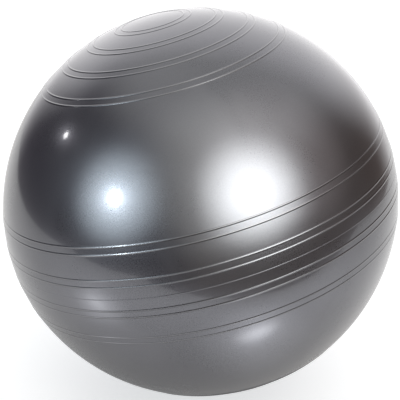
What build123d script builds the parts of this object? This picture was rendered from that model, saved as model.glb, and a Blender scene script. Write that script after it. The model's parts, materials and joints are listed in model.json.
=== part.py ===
"""Sitting ball: a hollow ball of soft PVC with moulded grip rings, closed by a plug in a valve seat.

Millimetres and degrees, +Z up. The ball stands on the flat that its own weight presses into its skin.
The origin is on the floor, straight below the ball's centre, and the pole axis leans towards -X.
"""

import os
from math import cos, degrees, radians, sin, sqrt

from build123d import *

# The ball
ball_width = 650.0
pole_to_pole = 635.0
arcs_meet_angle = 70.0
skin_wall = 1.0
pole_lean = 13.8
floor_patch_radius = 40.0

# The grip rings lie in pairs, and their places are measured along the skin
cap_pairs = 4
cap_pairs_start = 55.8
cap_pair_pitch = 50.4
equator_pairs_each_side = 2
equator_pair_pitch = 49.8
ring_spacing = 11.5
ring_width = 3.4
ring_height = 0.6

# The plug
plug_head_radius = 9.0
plug_head_thickness = 2.0
plug_head_bevel = 0.5
plug_stem_radius = 4.0
plug_length = 22.0
plug_tip_radius = 2.6
plug_tip_length = 4.0
rib_count = 3
rib_start = 4.0
rib_pitch = 3.5
rib_width = 1.8
rib_land = 0.6

# The valve seat, bonded to the inside of the skin
valve_from_pole = 57.0
seat_bore_radius = 4.6
seat_neck_radius = 8.5
seat_flange_radius = 18.0
seat_rim_thickness = 0.8
seat_flange_thickness = 2.5
seat_depth = 18.0
seat_lead_in = 0.5
head_clearance = 0.3
bore_clearance = 0.05

# The ball's section is four tangent arcs: a flatter one over each pole and a rounder one round the equator
half_width = ball_width / 2
half_length = pole_to_pole / 2
arcs_meet = radians(arcs_meet_angle)
radius_step = (half_width - half_length) / (sin(arcs_meet) + cos(arcs_meet) - 1)
cap_centre_drop = radius_step * cos(arcs_meet)
cap_radius = half_length + cap_centre_drop
equator_centre_out = radius_step * sin(arcs_meet)
equator_radius = half_width - equator_centre_out

# The ball leans, and the floor flattens its round bottom
lean = radians(pole_lean)
cap_centre_to_floor = sqrt(cap_radius**2 - floor_patch_radius**2)
centre_height = cap_centre_to_floor - cap_centre_drop * cos(lean)
pole_axis = Axis((0, 0, centre_height), (-sin(lean), 0, cos(lean)))
ball_section = Plane(origin=pole_axis.position, x_dir=(cos(lean), 0, sin(lean)), z_dir=(0, -1, 0))

os.makedirs("parts", exist_ok=True)


def arc_under(facing):
    """The centre and radius of the section's arc whose skin faces an angle from the upper pole."""
    if facing < arcs_meet:
        return Vector(0, -cap_centre_drop), cap_radius
    if facing > radians(180) - arcs_meet:
        return Vector(0, cap_centre_drop), cap_radius
    return Vector(equator_centre_out, 0), equator_radius


def skin_point(facing, out=0.0):
    """A point of the section where the skin faces an angle from the upper pole, standing out of the skin."""
    centre, radius = arc_under(facing)
    return centre + Vector(sin(facing), cos(facing)) * (radius + out)


def skin_arcs(start, end, out=0.0):
    """Draws the section's plain skin between two facing angles, cut where its arcs meet."""
    meetings = [angle for angle in (arcs_meet, radians(180) - arcs_meet) if start < angle < end]
    stops = [start, *meetings, end]
    for first, last in zip(stops, stops[1:]):
        centre, radius = arc_under((first + last) / 2)
        CenterArc(centre, radius + out, 90 - degrees(last), degrees(last - first))


def ring_places():
    """The facing angle of every grip ring from the upper pole, from the upper cap down to the lower one."""
    upper_half = []
    for pair in range(cap_pairs):
        for side in (-1, 1):
            along_skin = cap_pairs_start + pair * cap_pair_pitch + side * ring_spacing / 2
            upper_half.append(along_skin / cap_radius)
    for pair in reversed(range(equator_pairs_each_side)):
        for side in (1, -1):
            along_skin = (pair + 0.5) * equator_pair_pitch + side * ring_spacing / 2
            upper_half.append(radians(90) - along_skin / equator_radius)
    lower_half = [radians(180) - angle for angle in reversed(upper_half)]
    return upper_half + lower_half


# The room that the air fills, with its bottom one wall above the floor
with BuildPart() as air_room:
    with BuildSketch(ball_section):
        with BuildLine():
            skin_arcs(0, radians(180), out=-skin_wall)
            Line((0, -half_length + skin_wall), (0, half_length - skin_wall))
        make_face()
    revolve(axis=pole_axis)
    split(bisect_by=Plane.XY.offset(skin_wall), keep=Keep.TOP)

# The valve stands square to the skin, in the plain band of the upper half, at the back
valve_angle = radians(valve_from_pole)
valve_on_section = skin_point(valve_angle)
pole_direction = pole_axis.direction
valve_point = pole_axis.position + Vector(0, valve_on_section.X, 0) + pole_direction * valve_on_section.Y
valve_direction = Vector(0, sin(valve_angle), 0) + pole_direction * cos(valve_angle)
valve_plane = Plane(origin=valve_point, x_dir=ball_section.x_dir, z_dir=valve_direction)
valve_axis = Axis(valve_point, valve_direction)
valve_section = Plane(
    origin=valve_point, x_dir=valve_plane.x_dir, z_dir=valve_plane.x_dir.cross(valve_plane.z_dir)
)
head_hole_radius = plug_head_radius + head_clearance

# The skin: one moulding with its grip rings, pressed flat where it stands on the floor
ring_half_angle = ring_width / 2 / half_width
with BuildPart() as ball_skin:
    with BuildSketch(ball_section):
        with BuildLine():
            band_start = 0.0
            for ring_angle in ring_places():
                ring_start = ring_angle - ring_half_angle
                ring_end = ring_angle + ring_half_angle
                skin_arcs(band_start, ring_start)
                Polyline(skin_point(ring_start), skin_point(ring_angle, out=ring_height), skin_point(ring_end))
                band_start = ring_end
            skin_arcs(band_start, radians(180))
            Line((0, -half_length), (0, half_length))
        make_face()
    revolve(axis=pole_axis)
    split(bisect_by=Plane.XY, keep=Keep.TOP)
    add(air_room.part, mode=Mode.SUBTRACT)
    with Locations(valve_plane.location):
        Hole(radius=head_hole_radius, depth=skin_wall + plug_head_thickness)
ball_skin.part.label = "ball_skin"
export_step(ball_skin.part, "parts/ball_skin.step")

# The valve seat: a flange that follows the inside of the skin, and a neck with the bore for the plug
flange_fall = seat_flange_radius**2 / ball_width
flange_rim_depth = skin_wall + flange_fall + seat_rim_thickness
flange_root_depth = plug_head_thickness + seat_flange_thickness
with BuildPart() as valve_seat:
    with BuildSketch(valve_section):
        with BuildLine():
            Polyline(
                (seat_bore_radius + seat_lead_in, -plug_head_thickness),
                (head_hole_radius, -plug_head_thickness),
                (head_hole_radius, 0),
                (seat_flange_radius, 0),
                (seat_flange_radius, -flange_rim_depth),
                (seat_neck_radius, -flange_root_depth),
                (seat_neck_radius, -seat_depth),
                (seat_bore_radius, -seat_depth),
                (seat_bore_radius, -plug_head_thickness - seat_lead_in),
                close=True,
            )
        make_face()
    revolve(axis=valve_axis)
    add(air_room.part, mode=Mode.INTERSECT)
valve_seat.part.label = "valve_seat"
export_step(valve_seat.part, "parts/valve_seat.step")

# The plug: a flat head that fills the hole in the skin, and a stem whose ribs seal in the seat's bore
rib_radius = seat_bore_radius - bore_clearance
with BuildPart() as valve_plug:
    with BuildSketch(valve_section):
        with BuildLine():
            stem = [(plug_stem_radius, -plug_head_thickness)]
            for rib in range(rib_count):
                rib_middle = -plug_head_thickness - rib_start - rib * rib_pitch
                stem.append((plug_stem_radius, rib_middle + rib_width / 2))
                stem.append((rib_radius, rib_middle + rib_land / 2))
                stem.append((rib_radius, rib_middle - rib_land / 2))
                stem.append((plug_stem_radius, rib_middle - rib_width / 2))
            Polyline(
                (0, 0),
                (plug_head_radius - plug_head_bevel, 0),
                (plug_head_radius, -plug_head_bevel),
                (plug_head_radius, -plug_head_thickness),
                *stem,
                (plug_stem_radius, plug_tip_length - plug_length),
                (plug_tip_radius, -plug_length),
                (0, -plug_length),
                close=True,
            )
        make_face()
    revolve(axis=valve_axis)
valve_plug.part.label = "valve_plug"
export_step(valve_plug.part, "parts/valve_plug.step")
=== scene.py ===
import json
from math import ceil, cos, hypot, pi, radians, sin, sqrt, tan

import bpy
from mathutils import Matrix, Vector


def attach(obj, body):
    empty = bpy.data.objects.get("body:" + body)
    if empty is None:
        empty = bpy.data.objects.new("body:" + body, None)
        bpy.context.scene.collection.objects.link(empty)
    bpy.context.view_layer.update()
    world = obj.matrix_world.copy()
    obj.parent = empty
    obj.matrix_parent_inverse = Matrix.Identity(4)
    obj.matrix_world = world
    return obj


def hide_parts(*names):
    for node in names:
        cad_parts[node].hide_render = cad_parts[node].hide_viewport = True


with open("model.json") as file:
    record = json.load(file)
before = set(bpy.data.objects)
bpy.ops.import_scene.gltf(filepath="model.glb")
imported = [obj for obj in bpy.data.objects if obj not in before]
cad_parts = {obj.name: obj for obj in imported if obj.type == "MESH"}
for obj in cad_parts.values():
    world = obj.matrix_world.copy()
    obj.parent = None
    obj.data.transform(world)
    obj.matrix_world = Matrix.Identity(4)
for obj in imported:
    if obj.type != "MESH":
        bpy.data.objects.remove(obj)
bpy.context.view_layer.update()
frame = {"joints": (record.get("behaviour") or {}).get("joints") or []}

# The skin is one hollow moulding of soft PVC with a fine metal pigment, about a millimetre thick.
# Its steel mould is turned in two halves, which leaves the raised grip rings in pairs and a thin
# parting line on the equator. Air holds it round, and its own weight presses a flat on the floor.
half_width = 0.325
half_length = 0.3175
skin_wall = 0.001
pole_lean = radians(13.8)
floor_patch_radius = 0.040
arcs_meet = radians(70)
radius_step = (half_width - half_length) / (sin(arcs_meet) + cos(arcs_meet) - 1)
cap_centre_drop = radius_step * cos(arcs_meet)
cap_radius = half_length + cap_centre_drop
equator_centre_out = radius_step * sin(arcs_meet)
equator_radius = half_width - equator_centre_out
centre_height = sqrt(cap_radius**2 - floor_patch_radius**2) - cap_centre_drop * cos(pole_lean)
cap_pairs = 4
cap_pairs_start = 0.0558
cap_pair_pitch = 0.0504
equator_pairs_each_side = 2
equator_pair_pitch = 0.0498
ring_spacing = 0.0115
ring_width = 0.0038
cap_ring_height = 0.0006
equator_ring_height = 0.00045
parting_width = 0.0016
parting_height = 0.00015
bead_steps = 8
bead_guard = 0.0006
skin_step = 0.0065
inner_step = 0.018
skin_turns = 224
inner_turns = 112
start_size = 0.001
weld_distance = 1e-6
smooth_angle = radians(35)


def arc_under(facing):
    """The centre and radius of the section's arc whose skin faces an angle from the upper pole."""
    if facing < arcs_meet:
        return Vector((0, 0, -cap_centre_drop)), cap_radius
    if facing > pi - arcs_meet:
        return Vector((0, 0, cap_centre_drop)), cap_radius
    return Vector((equator_centre_out, 0, 0)), equator_radius


def skin_point(facing, out=0.0):
    """A point of the upright ball's section, standing out of the skin where it faces an angle."""
    centre, radius = arc_under(facing)
    return centre + Vector((sin(facing), 0, cos(facing))) * (radius + out)


def ring_angles():
    """The facing angle of every grip ring, from the upper pole down."""
    upper = []
    for pair in range(cap_pairs):
        for side in (-1, 1):
            from_pole = cap_pairs_start + pair * cap_pair_pitch + side * ring_spacing / 2
            upper.append(from_pole / cap_radius)
    for pair in reversed(range(equator_pairs_each_side)):
        for side in (1, -1):
            from_equator = (pair + 0.5) * equator_pair_pitch + side * ring_spacing / 2
            upper.append(pi / 2 - from_equator / equator_radius)
    return upper + [pi - angle for angle in reversed(upper)]


def plain_skin(start, end, step, out=0.0):
    """Section points over plain skin from one facing angle to another, without the first."""
    count = max(1, ceil((end - start) * half_width / step))
    return [skin_point(start + (end - start) * i / count, out) for i in range(1, count + 1)]


def bead(middle, half_angle, height):
    """Section points over one round bead, from one foot to the other."""
    over = []
    for i in range(bead_steps + 1):
        across = 2 * i / bead_steps - 1
        over.append(skin_point(middle + across * half_angle, out=height * (1 + cos(pi * across)) / 2))
    return over


def spin_section(name, points, turns):
    """A body of revolution about Z: one vertex is extruded along the section, and the line is spun."""
    bpy.ops.object.select_all(action="DESELECT")
    bpy.ops.mesh.primitive_plane_add(size=start_size, location=points[0])
    piece = bpy.context.object
    piece.name = name
    bpy.ops.object.mode_set(mode="EDIT")
    bpy.ops.mesh.merge(type="CENTER")
    for here, after in zip(points, points[1:]):
        bpy.ops.mesh.extrude_region_move(TRANSFORM_OT_translate={"value": after - here})
    bpy.ops.mesh.select_all(action="SELECT")
    bpy.ops.mesh.spin(steps=turns, angle=2 * pi, center=(0, 0, 0), axis=(0, 0, 1), use_auto_merge=True)
    bpy.ops.mesh.select_all(action="SELECT")
    bpy.ops.mesh.remove_doubles(threshold=weld_distance)
    bpy.ops.mesh.normals_make_consistent(inside=False)
    bpy.ops.object.mode_set(mode="OBJECT")
    bpy.ops.object.transform_apply(location=True, rotation=True, scale=True)
    return piece


def choose(*pieces):
    """Selects these pieces alone and makes the first one active."""
    bpy.ops.object.select_all(action="DESELECT")
    for piece in pieces:
        piece.select_set(True)
    bpy.context.view_layer.objects.active = pieces[0]


def stand_in_place(piece, place):
    """Moves a piece's mesh to its place and leaves its object at the origin."""
    choose(piece)
    piece.matrix_world = place
    bpy.ops.object.transform_apply(location=True, rotation=True, scale=True)


def press_flat(wall, height):
    """Presses every point of a wall that is lower than a height up to it, as the floor does."""
    choose(wall)
    bpy.ops.object.mode_set(mode="EDIT")
    bpy.ops.mesh.select_mode(type="VERT")
    bpy.ops.mesh.select_all(action="DESELECT")
    bpy.ops.object.mode_set(mode="OBJECT")
    for vertex in wall.data.vertices:
        vertex.select = vertex.co.z < height
    bpy.ops.object.mode_set(mode="EDIT")
    bpy.ops.transform.resize(value=(1, 1, 0), center_override=(0, 0, height))
    bpy.ops.object.mode_set(mode="OBJECT")


beads = [(pi / 2, parting_width, parting_height)]
for angle in ring_angles():
    ring_height = equator_ring_height if arcs_meet < angle < pi - arcs_meet else cap_ring_height
    beads.append((angle, ring_width, ring_height))
outer_section = [skin_point(0)]
reached = 0.0
for angle, width, height in sorted(beads):
    half_angle = width / 2 / half_width
    guard_angle = half_angle + bead_guard / half_width
    outer_section += plain_skin(reached, angle - guard_angle, skin_step)
    outer_section += bead(angle, half_angle, height)
    outer_section.append(skin_point(angle + guard_angle))
    reached = angle + guard_angle
outer_section += plain_skin(reached, pi, skin_step)
inner_section = [skin_point(0, out=-skin_wall)] + plain_skin(0, pi, inner_step, out=-skin_wall)

# Each point of the skin keeps how far up a ring it stands, from 0 on plain skin to 1 on a ring's top.
skin = spin_section("skin", outer_section, skin_turns)
ring_rise = skin.data.attributes.new("ring_rise", "FLOAT", "POINT")
for vertex in skin.data.vertices:
    from_axis = hypot(vertex.co.x, vertex.co.y)
    tall = abs(vertex.co.z)
    if tall < parting_width:
        share = 0.0
    elif from_axis < tan(arcs_meet) * (tall + cap_centre_drop):
        share = (hypot(from_axis, tall + cap_centre_drop) - cap_radius) / cap_ring_height
    else:
        share = (hypot(from_axis - equator_centre_out, tall) - equator_radius) / equator_ring_height
    ring_rise.data[vertex.index].value = share

ball_stands = Matrix.Translation((0, 0, centre_height)) @ Matrix.Rotation(-pole_lean, 4, "Y")
inner_wall = spin_section("inner_wall", inner_section, inner_turns)
stand_in_place(skin, ball_stands)
stand_in_place(inner_wall, ball_stands)
press_flat(skin, 0)
press_flat(inner_wall, skin_wall)
bpy.ops.object.mode_set(mode="EDIT")
bpy.ops.mesh.select_all(action="SELECT")
bpy.ops.mesh.flip_normals()
bpy.ops.object.mode_set(mode="OBJECT")
choose(skin, inner_wall)
bpy.ops.object.join()

# The filling hole goes through the skin at the back, square to it, and its outer edge is bevelled.
valve_angle = radians(57)
head_radius = 0.009
head_clearance = 0.0003
hole_radius = head_radius + head_clearance
hole_bevel = 0.0004
hole_turns = 72
cutter_depth = 0.006
valve_on_section = skin_point(valve_angle)
pole_direction = Vector((-sin(pole_lean), 0, cos(pole_lean)))
valve_place = Vector((0, valve_on_section.x, centre_height)) + pole_direction * valve_on_section.z
valve_out = Vector(frame["joints"][0]["axis"]).normalized()
valve_stands = Matrix.Translation(valve_place) @ valve_out.to_track_quat("Z", "X").to_matrix().to_4x4()
cutter_section = [
    Vector((0, 0, -cutter_depth)),
    Vector((hole_radius, 0, -cutter_depth)),
    Vector((hole_radius, 0, -hole_bevel)),
    Vector((hole_radius + 2 * hole_bevel, 0, hole_bevel)),
    Vector((hole_radius + 2 * hole_bevel, 0, cutter_depth)),
    Vector((0, 0, cutter_depth)),
]
hole_cutter = spin_section("hole_cutter", cutter_section, hole_turns)
stand_in_place(hole_cutter, valve_stands)
choose(skin)
filling_hole = skin.modifiers.new("filling_hole", "BOOLEAN")
filling_hole.operation = "DIFFERENCE"
filling_hole.solver = "EXACT"
filling_hole.object = hole_cutter
bpy.ops.object.modifier_apply(modifier=filling_hole.name)
bpy.data.objects.remove(hole_cutter)
bpy.ops.object.shade_smooth_by_angle(angle=smooth_angle)

# Sockets of a Mix node that share a name are told apart by number.
mix_factor = 0
mix_first_colour = 6
mix_second_colour = 7
mix_colour_result = 2


def put_node(tree, kind, settings, sockets):
    """Adds a node; each of its named sockets takes a value, or a link from another node's output."""
    node = tree.nodes.new(kind)
    for name, value in settings.items():
        setattr(node, name, value)
    for name, value in sockets.items():
        if isinstance(value, bpy.types.NodeSocket):
            tree.links.new(value, node.inputs[name])
        else:
            node.inputs[name].default_value = value
    return node


def calculate(tree, operation, first, second):
    """The result of one sum on two values or links."""
    return put_node(tree, "ShaderNodeMath", {"operation": operation}, {0: first, 1: second}).outputs[0]


def spread(tree, value, reach, results=(0.0, 1.0)):
    """A value moved smoothly from the range that it reaches over to another, and held inside it."""
    ranges = {
        "Value": value,
        "From Min": reach[0],
        "From Max": reach[1],
        "To Min": results[0],
        "To Max": results[1],
    }
    node = put_node(tree, "ShaderNodeMapRange", {"interpolation_type": "SMOOTHSTEP"}, ranges)
    return node.outputs["Result"]


def blend_colours(tree, factor, first, second):
    """A mix of two colours."""
    node = put_node(tree, "ShaderNodeMix", {"data_type": "RGBA"}, {mix_factor: factor})
    for number, colour in ((mix_first_colour, first), (mix_second_colour, second)):
        if isinstance(colour, bpy.types.NodeSocket):
            tree.links.new(colour, node.inputs[number])
        else:
            node.inputs[number].default_value = (*colour, 1)
    return node.outputs[mix_colour_result]


def lay_over(tree, base, mask, share, colour):
    """A base with a share of one colour laid over it where a mask says so."""
    return blend_colours(tree, calculate(tree, "MULTIPLY", mask, share), base, colour)


# What moulding and use leave on every plastic piece: a fine grain, slow cloudiness of the pigment, and
# specks of dust.
cloud_limits = (0.35, 0.65)
dust_limits = (0.5, 0.72)
moulded = bpy.data.node_groups.new("moulded_surface", "ShaderNodeTree")
moulded.interface.new_socket("Place", in_out="INPUT", socket_type="NodeSocketVector")
for scale in ("Grain Scale", "Cloud Scale", "Dust Scale"):
    moulded.interface.new_socket(scale, in_out="INPUT", socket_type="NodeSocketFloat")
for output in ("Grain", "Clouds", "Dust"):
    moulded.interface.new_socket(output, in_out="OUTPUT", socket_type="NodeSocketFloat")
given = moulded.nodes.new("NodeGroupInput").outputs
grain = put_node(
    moulded, "ShaderNodeTexNoise", {},
    {"Vector": given["Place"], "Scale": given["Grain Scale"], "Detail": 2.0},
)
clouds = put_node(
    moulded, "ShaderNodeTexNoise", {},
    {"Vector": given["Place"], "Scale": given["Cloud Scale"], "Detail": 5.0, "Distortion": 0.6},
)
specks = put_node(
    moulded, "ShaderNodeTexNoise", {},
    {"Vector": given["Place"], "Scale": given["Dust Scale"], "Detail": 6.0, "Roughness": 0.65},
)
put_node(
    moulded, "NodeGroupOutput", {},
    {
        "Grain": grain.outputs["Fac"],
        "Clouds": spread(moulded, clouds.outputs["Fac"], cloud_limits),
        "Dust": spread(moulded, specks.outputs["Fac"], dust_limits),
    },
)


def moulded_marks(tree, place, grain_scale, cloud_scale, dust_scale):
    """The masks of the moulded surface in a material, at this piece's own scales."""
    scales = {
        "Place": place,
        "Grain Scale": grain_scale,
        "Cloud Scale": cloud_scale,
        "Dust Scale": dust_scale,
    }
    return put_node(tree, "ShaderNodeGroup", {"node_tree": moulded}, scales).outputs


# The skin's pigment is cloudy and has metal flakes. Each ring's foot is painted dark: painted shade in the
# crease, with some grime. Each ring's top is painted pale: a painted highlight along the crest, with some
# rubbing wear. Dust lies just above the floor.
pigment_dark = (0.1145, 0.1145, 0.1285)
pigment_pale = (0.1355, 0.1355, 0.1515)
flake_colour = (0.164, 0.164, 0.183)
flake_share = 0.35
flake_limits = (0.35, 0.65)
flake_roughness = 0.012
# Painted shade in the crease at each ring's foot, with some grime:
crease_shade_and_grime_colour = (0.035, 0.034, 0.036)
crease_shade_and_grime_share = 0.85
crease_shade_and_grime_starts = (0.0, 0.1)
crease_shade_and_grime_ends = (0.2, 0.5)
# Painted highlight along each ring's top, with some rubbing wear:
rubbed_and_highlight_colour = (0.2, 0.2, 0.21)
rubbed_and_highlight_share = 0.4
rubbed_and_highlight_starts = (0.5, 0.95)
floor_dust_colour = (0.3, 0.29, 0.28)
floor_dust_share = 0.3
floor_dust_heights = (0.0, 0.05)
floor_dust_amounts = (0.8, 0.0)
floor_dust_roughness = 0.15
satin_roughness = (0.27, 0.29)
wave_height = 0.00025
turning_line_height = 0.00006
turning_line_reach = (0.012, 0.05)
grain_height = 0.000006

pvc = bpy.data.materials.new("metal_grey_pvc")
pvc.use_nodes = True
tree = pvc.node_tree
shader = tree.nodes["Principled BSDF"]
where = put_node(tree, "ShaderNodeTexCoord", {}, {}).outputs["Object"]
upright = put_node(
    tree, "ShaderNodeMapping", {},
    {
        "Vector": where,
        "Rotation": (0, pole_lean, 0),
        "Location": (-centre_height * sin(pole_lean), 0, -centre_height * cos(pole_lean)),
    },
).outputs["Vector"]
marks = moulded_marks(tree, upright, grain_scale=1400.0, cloud_scale=7.0, dust_scale=60.0)
rise = put_node(tree, "ShaderNodeAttribute", {"attribute_name": "ring_rise"}, {}).outputs["Fac"]
# Painted highlight: each ring's top is painted pale along the crest, with some rubbing wear.
rubbed_and_highlight_top = spread(tree, rise, rubbed_and_highlight_starts)
# Painted shade: each ring's foot is painted dark in the crease, with some grime.
above_skin = spread(tree, rise, crease_shade_and_grime_starts)
below_top = spread(tree, rise, crease_shade_and_grime_ends, (1.0, 0.0))
ring_foot_shade_mask = calculate(tree, "MULTIPLY", above_skin, below_top)
above_floor = put_node(tree, "ShaderNodeSeparateXYZ", {}, {"Vector": where}).outputs["Z"]
near_floor = spread(tree, above_floor, floor_dust_heights, floor_dust_amounts)
dusty = calculate(tree, "MULTIPLY", marks["Dust"], near_floor)
flakes = put_node(
    tree, "ShaderNodeTexNoise", {},
    {"Vector": upright, "Scale": 520.0, "Detail": 3.0, "Roughness": 0.7},
)
flake = spread(tree, flakes.outputs["Fac"], flake_limits)
pigment = blend_colours(tree, marks["Clouds"], pigment_dark, pigment_pale)
flaked = lay_over(tree, pigment, flake, flake_share, flake_colour)
crease_shaded_and_grimed = lay_over(tree, flaked, ring_foot_shade_mask, crease_shade_and_grime_share, crease_shade_and_grime_colour)
rubbed_and_highlighted = lay_over(tree, crease_shaded_and_grimed, rubbed_and_highlight_top, rubbed_and_highlight_share, rubbed_and_highlight_colour)
finished = lay_over(tree, rubbed_and_highlighted, dusty, floor_dust_share, floor_dust_colour)
tree.links.new(finished, shader.inputs["Base Color"])
satin = spread(tree, marks["Clouds"], (0.0, 1.0), satin_roughness)
flaked_satin = calculate(tree, "ADD", satin, calculate(tree, "MULTIPLY", flake, flake_roughness))
rough = calculate(tree, "ADD", flaked_satin, calculate(tree, "MULTIPLY", dusty, floor_dust_roughness))
tree.links.new(rough, shader.inputs["Roughness"])
shader.inputs["Metallic"].default_value = 0.9
shader.inputs["Coat Weight"].default_value = 1.0
shader.inputs["Coat Roughness"].default_value = 0.09
shader.inputs["Coat IOR"].default_value = 1.45
slow_waves = put_node(tree, "ShaderNodeTexNoise", {}, {"Vector": upright, "Scale": 11.0, "Detail": 4.0})
pole_height = put_node(tree, "ShaderNodeSeparateXYZ", {}, {"Vector": upright}).outputs["Z"]
turning_lines = put_node(
    tree, "ShaderNodeTexNoise", {"noise_dimensions": "1D"},
    {"W": pole_height, "Scale": 420.0, "Detail": 2.0},
)
from_equator = calculate(tree, "ABSOLUTE", pole_height, 0.0)
near_equator = spread(tree, from_equator, turning_line_reach, (1.0, 0.0))
turned = calculate(tree, "MULTIPLY", turning_lines.outputs["Fac"], near_equator)
waved = put_node(tree, "ShaderNodeBump", {}, {"Height": slow_waves.outputs["Fac"], "Distance": wave_height})
lined = put_node(
    tree, "ShaderNodeBump", {},
    {"Height": turned, "Distance": turning_line_height, "Normal": waved.outputs["Normal"]},
)
grained = put_node(
    tree, "ShaderNodeBump", {},
    {"Height": marks["Grain"], "Distance": grain_height, "Normal": lined.outputs["Normal"]},
)
tree.links.new(grained.outputs["Normal"], shader.inputs["Normal"])
skin.data.materials.clear()
skin.data.materials.append(pvc)
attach(skin, "ball")
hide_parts("ball_skin")

# The valve seat is a thicker PVC insert behind the filling hole. Its flange is bonded to the inside of
# the skin and thins out to its rim, and the bore in its neck grips the plug.
bore_radius = 0.0046
neck_radius = 0.0085
flange_radius = 0.018
flange_rim = 0.0008
flange_root = 0.0025
flange_steps = 8
bond_gap = 0.00002
seat_depth = 0.018
lead_in = 0.0005
head_thickness = 0.002
seat_edge = 0.0002
seat_turns = 72
edge_segments = 3
sharp_angle = radians(30)
seat_dark = (0.028, 0.028, 0.03)
seat_pale = (0.04, 0.04, 0.043)
seat_dust_colour = (0.25, 0.24, 0.23)
seat_dust_share = 0.12
seat_roughness = (0.42, 0.55)
seat_grain_height = 0.00002


def bond_depth(from_axis):
    """How deep the skin's inside lies below the valve's place, at a distance from the valve's axis."""
    return skin_wall + bond_gap + from_axis**2 / (2 * cap_radius)


def round_edges(piece, width):
    """Rounds the sharp edges of a moulded piece and shades it smooth."""
    choose(piece)
    rounding = piece.modifiers.new("round_edges", "BEVEL")
    rounding.width = width
    rounding.segments = edge_segments
    rounding.limit_method = "ANGLE"
    rounding.angle_limit = sharp_angle
    bpy.ops.object.modifier_apply(modifier=rounding.name)
    bpy.ops.object.shade_smooth_by_angle(angle=smooth_angle)


seat_section = [
    Vector((bore_radius, 0, -seat_depth)),
    Vector((bore_radius, 0, -head_thickness - lead_in)),
    Vector((bore_radius + lead_in, 0, -head_thickness)),
    Vector((hole_radius, 0, -head_thickness)),
]
for i in range(flange_steps + 1):
    from_axis = hole_radius + (flange_radius - hole_radius) * i / flange_steps
    seat_section.append(Vector((from_axis, 0, -bond_depth(from_axis))))
seat_section += [
    Vector((flange_radius, 0, -bond_depth(flange_radius) - flange_rim)),
    Vector((neck_radius, 0, -head_thickness - flange_root)),
    Vector((neck_radius, 0, -seat_depth)),
    Vector((bore_radius, 0, -seat_depth)),
]
seat = spin_section("seat", seat_section, seat_turns)
round_edges(seat, seat_edge)
stand_in_place(seat, valve_stands)

seat_pvc = bpy.data.materials.new("plain_grey_pvc")
seat_pvc.use_nodes = True
tree = seat_pvc.node_tree
shader = tree.nodes["Principled BSDF"]
where = put_node(tree, "ShaderNodeTexCoord", {}, {}).outputs["Object"]
marks = moulded_marks(tree, where, grain_scale=2500.0, cloud_scale=120.0, dust_scale=900.0)
tinted = blend_colours(tree, marks["Clouds"], seat_dark, seat_pale)
dusted = lay_over(tree, tinted, marks["Dust"], seat_dust_share, seat_dust_colour)
tree.links.new(dusted, shader.inputs["Base Color"])
tree.links.new(spread(tree, marks["Clouds"], (0.0, 1.0), seat_roughness), shader.inputs["Roughness"])
grained = put_node(tree, "ShaderNodeBump", {}, {"Height": marks["Grain"], "Distance": seat_grain_height})
tree.links.new(grained.outputs["Normal"], shader.inputs["Normal"])
seat.data.materials.clear()
seat.data.materials.append(seat_pvc)
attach(seat, "ball")
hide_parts("valve_seat")

# The plug is a stopper moulded in hard milky polyethylene. Its flat head lies flush in the skin's hole,
# and three ribs on its stem seal in the seat's bore, so it is pulled out to fill the ball.
stem_radius = 0.004
plug_length = 0.022
tip_radius = 0.0026
tip_length = 0.004
rib_count = 3
rib_start = 0.004
rib_pitch = 0.0035
rib_width = 0.0018
bore_clearance = 0.00005
rib_radius = bore_radius - bore_clearance
rib_steps = 8
head_edge = 0.0005
head_edge_steps = 5
gate_radius = 0.0018
gate_depth = 0.0005
plug_edge = 0.00018
plug_turns = 72
milk_dark = (0.56, 0.56, 0.54)
milk_pale = (0.64, 0.64, 0.62)
handled_colour = (0.3, 0.29, 0.27)
handled_share = 0.22
plug_roughness = (0.34, 0.46)
plug_grain_height = 0.000015

plug_section = [
    Vector((0, 0, -gate_depth)),
    Vector((gate_radius, 0, -gate_depth)),
    Vector((gate_radius + gate_depth, 0, 0)),
]
for i in range(head_edge_steps + 1):
    turn = pi / 2 * i / head_edge_steps
    round_middle = Vector((head_radius - head_edge, 0, -head_edge))
    plug_section.append(round_middle + Vector((sin(turn), 0, cos(turn))) * head_edge)
plug_section += [
    Vector((head_radius, 0, -head_thickness)),
    Vector((stem_radius, 0, -head_thickness)),
]
for rib in range(rib_count):
    rib_middle = -head_thickness - rib_start - rib * rib_pitch
    for i in range(rib_steps + 1):
        across = 2 * i / rib_steps - 1
        swell = (rib_radius - stem_radius) * (1 - across**4)
        plug_section.append(Vector((stem_radius + swell, 0, rib_middle - across * rib_width / 2)))
plug_section += [
    Vector((stem_radius, 0, tip_length - plug_length)),
    Vector((tip_radius, 0, -plug_length)),
    Vector((0, 0, -plug_length)),
]
plug = spin_section("plug", plug_section, plug_turns)
round_edges(plug, plug_edge)
stand_in_place(plug, valve_stands)

milky = bpy.data.materials.new("milky_polyethylene")
milky.use_nodes = True
tree = milky.node_tree
shader = tree.nodes["Principled BSDF"]
where = put_node(tree, "ShaderNodeTexCoord", {}, {}).outputs["Object"]
marks = moulded_marks(tree, where, grain_scale=3000.0, cloud_scale=160.0, dust_scale=1200.0)
milk = blend_colours(tree, marks["Clouds"], milk_dark, milk_pale)
handled = lay_over(tree, milk, marks["Dust"], handled_share, handled_colour)
tree.links.new(handled, shader.inputs["Base Color"])
tree.links.new(spread(tree, marks["Clouds"], (0.0, 1.0), plug_roughness), shader.inputs["Roughness"])
grained = put_node(tree, "ShaderNodeBump", {}, {"Height": marks["Grain"], "Distance": plug_grain_height})
tree.links.new(grained.outputs["Normal"], shader.inputs["Normal"])
plug.data.materials.clear()
plug.data.materials.append(milky)
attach(plug, "plug")
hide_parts("valve_plug")

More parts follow.
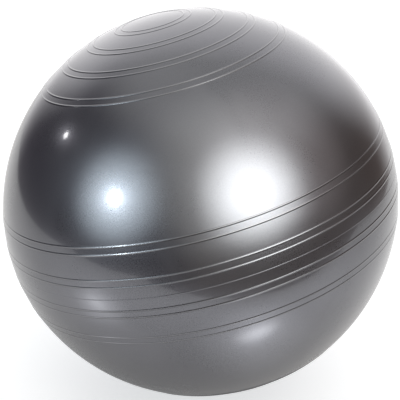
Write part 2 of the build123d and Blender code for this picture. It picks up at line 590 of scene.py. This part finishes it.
# The studio floor is a white acrylic table that glows, as if lit from below. It stands turned, and its near
# left corner is cut off. The camera sees an even white. The glow that the ball mirrors is painted: darker
# round the ball as its painted shadow, darker to the left, brighter towards the front, and with bright
# patches painted where lamps would stand close under the table's front. The ball also mirrors the
# table's edge.
floor_low = Vector((-1.75, -0.775, -0.0004))
floor_high = Vector((2.0, 4, -0.0004))
floor_turn = radians(21)
floor_corner_cut = 0.81
floor_glow = 0.68
front_glow = 0.74
side_glow = 0.38
front_fades = (-0.5, 0.0)
shaded_share = 0.4
shade_fades = (0.18, 0.7)
left_share = 0.76
left_fades = (-0.9, 0.2)
mix_first_value = 2
mix_second_value = 3
mix_value_result = 0
# Each bright patch painted into the table's glow, where a lamp would stand under it, has its middle, how
# far it is stretched along X, its radius and its brightness.
painted_lamp_patches = [
    ((-0.465, -0.43, 0), 1.3, 0.17, 1.3),
    ((-0.46, -0.415, 0), 1.8, 0.06, 1.4),
    ((0.196, -0.403, 0), 1.9, 0.062, 3.0),
    ((0.2, -0.42, 0), 1.0, 0.26, 0.75),
]


def vector_node(tree, operation, first, second=(0, 0, 0)):
    """The outputs of one sum on two vectors or links."""
    return put_node(tree, "ShaderNodeVectorMath", {"operation": operation}, {0: first, 1: second}).outputs


bpy.ops.object.select_all(action="DESELECT")
bpy.ops.mesh.primitive_plane_add(size=1, location=(floor_low + floor_high) / 2)
floor = bpy.context.object
floor.name = "table_floor"
floor.scale = (floor_high.x - floor_low.x, floor_high.y - floor_low.y, 1)
bpy.ops.object.transform_apply(location=True, rotation=True, scale=True)
near_corner = min(floor.data.vertices, key=lambda vertex: vertex.co.x + vertex.co.y).index
bpy.ops.object.mode_set(mode="EDIT")
bpy.ops.mesh.select_all(action="DESELECT")
bpy.ops.object.mode_set(mode="OBJECT")
floor.data.vertices[near_corner].select = True
bpy.ops.object.mode_set(mode="EDIT")
bpy.ops.mesh.bevel(offset=floor_corner_cut, affect="VERTICES", segments=1)
bpy.ops.object.mode_set(mode="OBJECT")
floor.rotation_euler.z = floor_turn
bpy.ops.object.transform_apply(location=True, rotation=True, scale=True)
acrylic = bpy.data.materials.new("lit_white_acrylic")
acrylic.use_nodes = True
tree = acrylic.node_tree
shader = tree.nodes["Principled BSDF"]
shader.inputs["Base Color"].default_value = (0.5, 0.5, 0.5, 1)
shader.inputs["Roughness"].default_value = 0.6
shader.inputs["Emission Color"].default_value = (0.98, 1, 1.02, 1)
where = put_node(tree, "ShaderNodeTexCoord", {}, {}).outputs["Object"]
from_ball = vector_node(tree, "LENGTH", where)["Value"]
place = put_node(tree, "ShaderNodeSeparateXYZ", {}, {"Vector": where})
# Painted shadow: the glow that the ball mirrors is darker round the ball, and painted light makes it darker
# to the left and brighter towards the front.
unshaded = spread(tree, from_ball, shade_fades, (shaded_share, 1.0))
from_left = spread(tree, place.outputs["X"], left_fades, (left_share, 1.0))
from_front = spread(tree, place.outputs["Y"], front_fades, (front_glow, side_glow))
mirrored = calculate(tree, "MULTIPLY", unshaded, calculate(tree, "MULTIPLY", from_left, from_front))
# Painted light: bright glowing patches stand in for lamps under the table's front.
for middle, stretch, radius, brightness in painted_lamp_patches:
    aside = vector_node(tree, "SUBTRACT", where, middle)["Vector"]
    squeezed = vector_node(tree, "MULTIPLY", aside, (1 / stretch, 1, 1))["Vector"]
    away = vector_node(tree, "LENGTH", squeezed)["Value"]
    mirrored = calculate(tree, "ADD", mirrored, spread(tree, away, (0.0, radius), (brightness, 0.0)))
seen = put_node(tree, "ShaderNodeLightPath", {}, {}).outputs["Is Camera Ray"]
glow = put_node(
    tree, "ShaderNodeMix", {"data_type": "FLOAT"},
    {mix_factor: seen, mix_first_value: mirrored, mix_second_value: floor_glow},
).outputs[mix_value_result]
tree.links.new(glow, shader.inputs["Emission Strength"])
floor.data.materials.append(acrylic)

# Round soft lamps stand before the ball and light it alone, so the table keeps its even white: a large
# key, a second one in a wide shade, and a small one close by. The last stands overhead and lights only
# the table, where the ball keeps a faint shadow.
ball_centre = Vector((0, 0, centre_height))
lamp_middle = (0.5, 0.5, 0)
lamp_rim = 0.5
lit_pieces = bpy.data.collections.new("lit_pieces")
for piece in (skin, seat, plug):
    lit_pieces.objects.link(piece)
lit_table = bpy.data.collections.new("lit_table")
lit_table.objects.link(floor)
# Each lamp has its name, azimuth, elevation and distance from the ball, the angle from its middle that it
# fills evenly, the angle where its glow ends, its radiance and colour, and what it lights.
lamps = [
    ("key_lamp", 29.5, 26.4, 3, 2, 33.5, 8.2, (0.965, 1, 0.965), lit_pieces),
    ("second_lamp", -49, 19, 3, 2, 5, 48, (0.84, 0.96, 1), lit_pieces),
    ("second_shade", -49, 19, 3, 0, 29, 4.6, (0.83, 0.955, 1), lit_pieces),
    ("small_lamp", -87.35, 29.91, 0.839, 0.6, 1.8, 25, (1, 0.99, 1), lit_pieces),
    ("table_lamp", 0, 80, 3, 20, 30, 1.0, (1, 1, 1), lit_table),
]
for name, azimuth, elevation, distance, full_angle, rim_angle, radiance, colour, lit in lamps:
    across_floor = cos(radians(elevation))
    to_right = sin(radians(azimuth)) * across_floor
    to_front = cos(radians(azimuth)) * across_floor
    towards = Vector((to_right, -to_front, sin(radians(elevation))))
    radius = distance * tan(radians(rim_angle))
    lamp = bpy.data.lights.new(name, "AREA")
    lamp.shape = "DISK"
    lamp.size = 2 * radius
    lamp.color = colour
    lamp.energy = radiance * pi**2 * radius**2
    lamp.use_nodes = True
    tree = lamp.node_tree
    on_lamp = put_node(tree, "ShaderNodeNewGeometry", {}, {}).outputs["Parametric"]
    from_middle = vector_node(tree, "DISTANCE", on_lamp, lamp_middle)["Value"]
    full_share = lamp_rim * tan(radians(full_angle)) / tan(radians(rim_angle))
    falling = spread(tree, from_middle, (full_share, lamp_rim), (1.0, 0.0))
    tree.links.new(falling, tree.nodes["Emission"].inputs["Strength"])
    holder = bpy.data.objects.new(name, lamp)
    holder.location = ball_centre + towards * distance
    holder.rotation_euler = towards.to_track_quat("Z", "Y").to_euler()
    holder.visible_camera = False
    holder.light_linking.receiver_collection = lit
    bpy.context.scene.collection.objects.link(holder)

# The room is dim, cooler on the left and warmer on the right, with two soft fills in front of the ball. It
# is white behind the ball and pale overhead, and the camera sees it as plain white.
dim_left_colour = (0.07, 0.058, 0.075)
dim_right_colour = (0.105, 0.064, 0.046)
left_to_right = (-0.4, 0.1)
ceiling_colour = (0.79, 0.79, 0.77)
ceiling_direction = (0.12, 0.15, 0.98)
ceiling_starts = (0.54, 0.88)
fill_colour = (0.66, 0.67, 0.6)
fill_direction = (0.242, -0.749, 0.616)
fill_starts = (0.55, 1.0)
side_fill_colour = (0.46, 0.39, 0.37)
side_fill_direction = (0.668, -0.418, 0.616)
side_fill_starts = (0.66, 1.0)
behind_colour = (1.3, 1.285, 1.3)
behind_starts = (0.61, 1.04)
behind_heights = (0.0, 0.6)
behind_raised = 0.33
behind_to_right = 0.06
shown_colour = (1, 1, 1)


def add_light(tree, base, factor, colour):
    """A base with a share of one colour added to it."""
    node = put_node(
        tree, "ShaderNodeMix", {"data_type": "RGBA", "blend_type": "ADD"},
        {mix_factor: factor, mix_first_colour: base, mix_second_colour: (*colour, 1)},
    )
    return node.outputs[mix_colour_result]


room = bpy.data.worlds.new("room")
bpy.context.scene.world = room
room.use_nodes = True
tree = room.node_tree
towards = put_node(tree, "ShaderNodeTexCoord", {}, {}).outputs["Generated"]
parts = put_node(tree, "ShaderNodeSeparateXYZ", {}, {"Vector": towards})
overhead = vector_node(tree, "DOT_PRODUCT", towards, ceiling_direction)["Value"]
above = spread(tree, overhead, ceiling_starts)
on_right = spread(tree, parts.outputs["X"], left_to_right)
dim = blend_colours(tree, on_right, dim_left_colour, dim_right_colour)
ceiling = blend_colours(tree, above, dim, ceiling_colour)
before = vector_node(tree, "DOT_PRODUCT", towards, fill_direction)["Value"]
filled = add_light(tree, ceiling, spread(tree, before, fill_starts), fill_colour)
beside = vector_node(tree, "DOT_PRODUCT", towards, side_fill_direction)["Value"]
filled_beside = add_light(tree, filled, spread(tree, beside, side_fill_starts), side_fill_colour)
raised = spread(tree, parts.outputs["Z"], behind_heights, (0.0, behind_raised))
sideways = calculate(tree, "MULTIPLY", parts.outputs["X"], behind_to_right)
backwards = calculate(tree, "ADD", parts.outputs["Y"], calculate(tree, "ADD", raised, sideways))
behind = spread(tree, backwards, behind_starts)
all_round = blend_colours(tree, behind, filled_beside, behind_colour)
camera_ray = put_node(tree, "ShaderNodeLightPath", {}, {}).outputs["Is Camera Ray"]
shown = blend_colours(tree, camera_ray, all_round, shown_colour)
tree.links.new(shown, tree.nodes["Background"].inputs["Color"])
bpy.context.scene.view_settings.view_transform = "Standard"

# The camera stands in front of the ball, at the photograph's angle and distance.
camera_distance = 1.875
camera_elevation = radians(22.25)
image_pixels = 400
focal_pixels = 1126
centre_right_pixels = 0.4
centre_down_pixels = 1.5
sensor_millimetres = 36
lens = bpy.data.cameras.new("camera")
lens.sensor_width = sensor_millimetres
lens.lens = focal_pixels / image_pixels * sensor_millimetres
lens.shift_x = -centre_right_pixels / image_pixels
lens.shift_y = centre_down_pixels / image_pixels
camera = bpy.data.objects.new("camera", lens)
view_from = Vector((0, -cos(camera_elevation), sin(camera_elevation)))
camera.location = ball_centre + view_from * camera_distance
camera.rotation_euler = view_from.to_track_quat("Z", "Y").to_euler()
bpy.context.scene.collection.objects.link(camera)
bpy.context.scene.camera = camera
